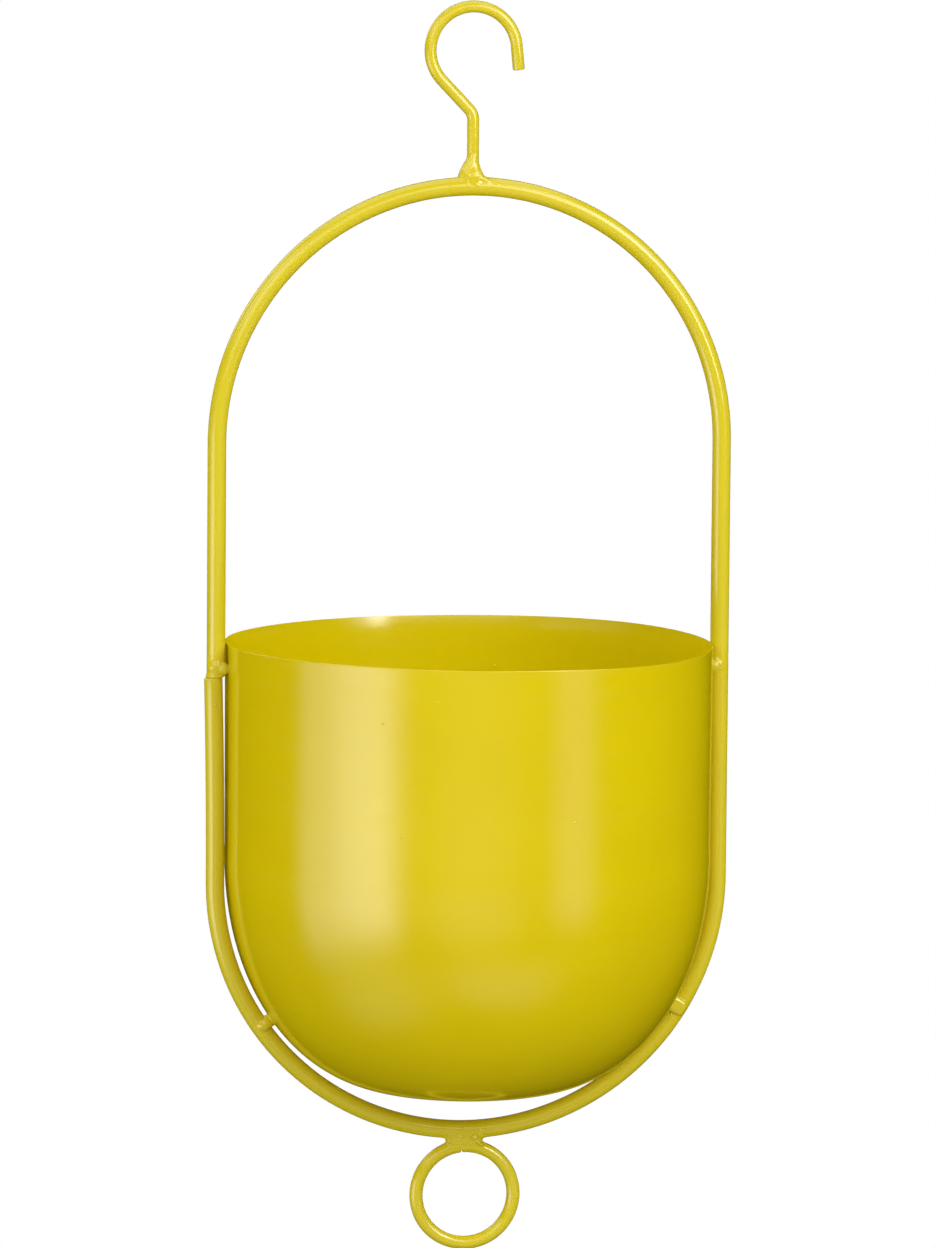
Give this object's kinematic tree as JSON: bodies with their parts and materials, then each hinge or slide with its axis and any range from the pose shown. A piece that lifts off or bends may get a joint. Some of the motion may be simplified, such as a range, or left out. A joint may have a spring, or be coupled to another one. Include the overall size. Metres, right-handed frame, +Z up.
{
  "type": "hanging planter",
  "caption": "Deep round-bottomed sheet-metal bowl welded into a tall hoop of bent rod, with an open wire hook above and a closed wire ring below.",
  "frame": {"origin": "inside of the hook's crown, where the planter bears on what it hangs from", "axes": "+Z up through the hook, the bowl's axis and the ring; the hoop, hook and ring lie in the XZ plane; the hook opens towards +X and the tack welds are on the -Y side"},
  "size_m": [0.1957, 0.18, 0.463],
  "materials": {
    "paint": "glossy yellow-green paint over steel"
  },
  "bodies": {
    "root": {"pot_bowl": "paint", "hoop_rod": "paint", "hook": "paint", "hanging_ring": "paint", "hook_weld": "paint", "ring_weld": "paint", "splice_weld": "paint", "tack_upper_left": "paint", "tack_upper_right": "paint", "tack_lower_left": "paint", "tack_lower_right": "paint"}
  },
  "joints": []
}
